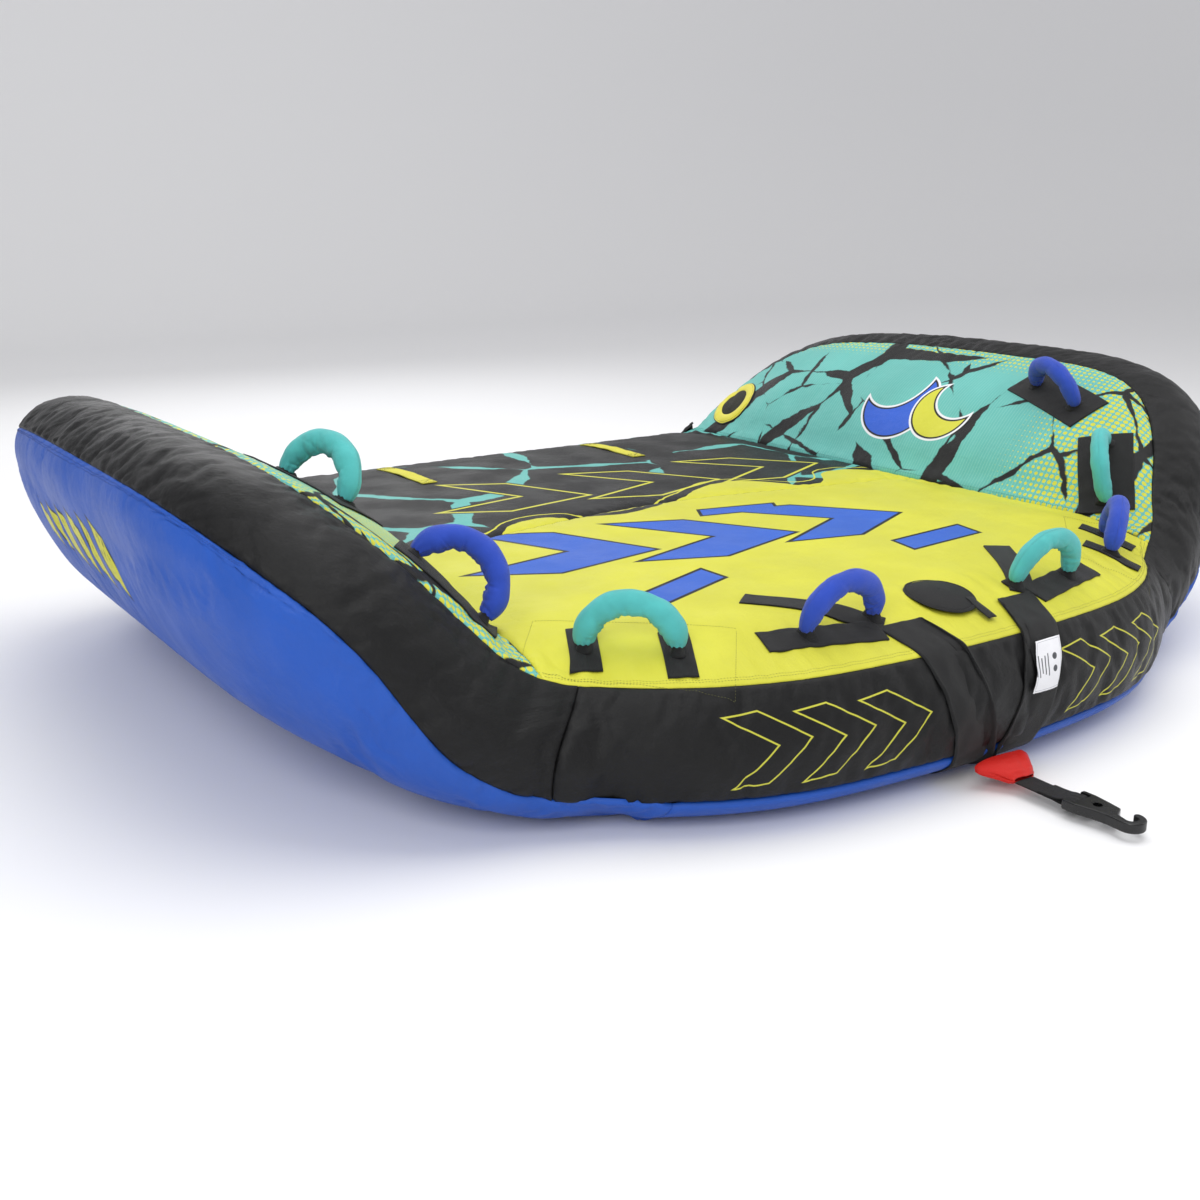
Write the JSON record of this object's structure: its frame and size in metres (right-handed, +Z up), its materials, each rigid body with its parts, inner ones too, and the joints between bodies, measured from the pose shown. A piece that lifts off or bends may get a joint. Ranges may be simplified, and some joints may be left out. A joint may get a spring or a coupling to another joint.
{
  "type": "towable tube",
  "caption": "Inflatable water-sports deck tube with two upswept side wings, padded grips, zipped fabric cover, tow harness and quick tow hook.",
  "frame": {"origin": "middle of the flat underside, on the ground", "axes": "+Z up, -Y towards the nose and the tow hook, +X to the right seen from behind"},
  "size_m": [2.5502, 2.1896, 0.613],
  "materials": {
    "nylon_yellow": "matt",
    "nylon_black_deck": "matt",
    "nylon_teal": "matt",
    "nylon_black_band": "matt",
    "nylon_blue": "satin",
    "bladder_film": "satin",
    "valve_plastic": "satin",
    "flap_black": "matt",
    "zip_tape": "matt",
    "zip_coil": "satin",
    "zip_metal": "satin",
    "webbing_black": "matt",
    "webbing_core": "matt",
    "webbing_lead": "matt",
    "label_white": "matt",
    "nylon_red": "matt",
    "hook_plastic": "satin",
    "webbing_yellow": "matt",
    "vent_ring": "matt",
    "vent_mesh": "matt",
    "grip_teal": "matt",
    "grip_blue": "matt"
  },
  "bodies": {
    "tube": {"band_front": "nylon_black_band", "band_left": "nylon_black_band", "band_rear_lower": "nylon_black_band", "band_rear_upper": "nylon_black_band", "band_right": "nylon_black_band", "bladder_centre": "bladder_film", "bladder_left": "bladder_film", "bladder_right": "bladder_film", "boarding_strap_left": "webbing_yellow", "boarding_strap_right": "webbing_yellow", "bottom_centre_panel": "nylon_blue", "bottom_wing_panel_left": "nylon_blue", "bottom_wing_panel_right": "nylon_blue", "deck_beams": "bladder_film", "deck_front_panel": "nylon_yellow", "deck_rear_panel": "nylon_black_deck", "grip_base_centre_left": "webbing_black", "grip_base_centre_right": "webbing_black", "grip_base_corner_left": "webbing_black", "grip_base_corner_right": "webbing_black", "grip_base_wing_front_left": "webbing_black", "grip_base_wing_front_right": "webbing_black", "grip_base_wing_rear_left": "webbing_black", "grip_base_wing_rear_right": "webbing_black", "label_tag": "label_white", "tow_strap_left": "webbing_black", "tow_strap_right": "webbing_black", "valve_base": "valve_plastic", "vent_mesh_left": "vent_mesh", "vent_mesh_right": "vent_mesh", "vent_ring_left": "vent_ring", "vent_ring_right": "vent_ring", "wing_panel_left": "nylon_teal", "wing_panel_right": "nylon_teal", "zip_coils": "zip_coil", "zip_tapes": "zip_tape"},
    "grip_centre_right": {"grip_centre_right": "grip_teal", "grip_core_centre_right": "webbing_core"},
    "grip_centre_left": {"grip_centre_left": "grip_blue", "grip_core_centre_left": "webbing_core"},
    "grip_corner_right": {"grip_corner_right": "grip_blue", "grip_core_corner_right": "webbing_core"},
    "grip_corner_left": {"grip_corner_left": "grip_teal", "grip_core_corner_left": "webbing_core"},
    "grip_wing_front_right": {"grip_wing_front_right": "grip_teal", "grip_core_wing_front_right": "webbing_core"},
    "grip_wing_front_left": {"grip_wing_front_left": "grip_blue", "grip_core_wing_front_left": "webbing_core"},
    "grip_wing_rear_right": {"grip_wing_rear_right": "grip_blue", "grip_core_wing_rear_right": "webbing_core"},
    "grip_wing_rear_left": {"grip_wing_rear_left": "grip_teal", "grip_core_wing_rear_left": "webbing_core"},
    "valve_cap": {"valve_cap": "valve_plastic"},
    "valve_flap": {"valve_flap": "flap_black"},
    "zip_slider": {"zip_slider": "zip_metal"},
    "zip_pull": {"zip_pull": "zip_metal"},
    "tow_sleeve": {"tow_sleeve": "nylon_red"},
    "tow_lead": {"tow_lead": "webbing_lead"},
    "tow_hook": {"tow_hook": "hook_plastic"}
  },
  "joints": [
    {"name": "grip_centre_right_swing", "type": "hinge", "parent": "tube", "child": "grip_centre_right", "pos_m": [0.26044, -0.76894, 0.30801], "axis": [0.9996, 0, -0.029], "range_deg": [-50, 50], "stiffness_Nm_per_rad": 0.4},
    {"name": "grip_centre_left_swing", "type": "hinge", "parent": "tube", "child": "grip_centre_left", "pos_m": [-0.26044, -0.76894, 0.30801], "axis": [-0.9996, 0, -0.029], "range_deg": [-50, 50], "stiffness_Nm_per_rad": 0.4},
    {"name": "grip_corner_right_swing", "type": "hinge", "parent": "tube", "child": "grip_corner_right", "pos_m": [0.6148, -0.65528, 0.30227], "axis": [0.766, 0.6428, -0.0024], "range_deg": [-50, 50], "stiffness_Nm_per_rad": 0.4},
    {"name": "grip_corner_left_swing", "type": "hinge", "parent": "tube", "child": "grip_corner_left", "pos_m": [-0.6148, -0.65528, 0.30227], "axis": [-0.766, 0.6428, -0.0024], "range_deg": [-50, 50], "stiffness_Nm_per_rad": 0.4},
    {"name": "grip_wing_front_right_swing", "type": "hinge", "parent": "tube", "child": "grip_wing_front_right", "pos_m": [0.83543, -0.47191, 0.39419], "axis": [0.5436, 0.4975, 0.676], "range_deg": [-50, 50], "stiffness_Nm_per_rad": 0.4},
    {"name": "grip_wing_front_left_swing", "type": "hinge", "parent": "tube", "child": "grip_wing_front_left", "pos_m": [-0.83543, -0.47191, 0.39419], "axis": [-0.5436, 0.4975, 0.676], "range_deg": [-50, 50], "stiffness_Nm_per_rad": 0.4},
    {"name": "grip_wing_rear_right_swing", "type": "hinge", "parent": "tube", "child": "grip_wing_rear_right", "pos_m": [0.95701, -0.22648, 0.52933], "axis": [0.2695, 0.9441, 0.1897], "range_deg": [-50, 50], "stiffness_Nm_per_rad": 0.4},
    {"name": "grip_wing_rear_left_swing", "type": "hinge", "parent": "tube", "child": "grip_wing_rear_left", "pos_m": [-0.95701, -0.22648, 0.52933], "axis": [-0.2695, 0.9441, 0.1897], "range_deg": [-50, 50], "stiffness_Nm_per_rad": 0.4},
    {"name": "valve_flap_lift", "type": "hinge", "parent": "tube", "child": "valve_flap", "pos_m": [0, -0.68608, 0.3104], "axis": [-1, 0, 0], "range_deg": [0, 140]},
    {"name": "valve_cap_turn", "type": "hinge", "parent": "tube", "child": "valve_cap", "pos_m": [0, -0.752, 0.29876], "axis": [0, -0.1911, 0.9816], "continuous": true},
    {"name": "zip_slide", "type": "slide", "parent": "tube", "child": "zip_slider", "axis": [1, 0, 0], "range_m": [0, 0.83]},
    {"name": "zip_pull_swing", "type": "hinge", "parent": "zip_slider", "child": "zip_pull", "pos_m": [-0.416, 0.98233, 0.17882], "axis": [0, 0, 1], "range_deg": [0, 165]},
    {"name": "tow_sleeve_swing", "type": "hinge", "parent": "tube", "child": "tow_sleeve", "pos_m": [0, -0.913, 0.04], "axis": [-1, 0, 0], "range_deg": [0, 45]},
    {"name": "tow_lead_swing", "type": "hinge", "parent": "tow_sleeve", "child": "tow_lead", "pos_m": [0, -0.9735, 0.024], "axis": [-1, 0, 0], "range_deg": [-4, 30]},
    {"name": "tow_hook_swing", "type": "hinge", "parent": "tow_lead", "child": "tow_hook", "pos_m": [0, -1.079, 0.024], "axis": [-1, 0, 0], "range_deg": [-2, 40]}
  ]
}
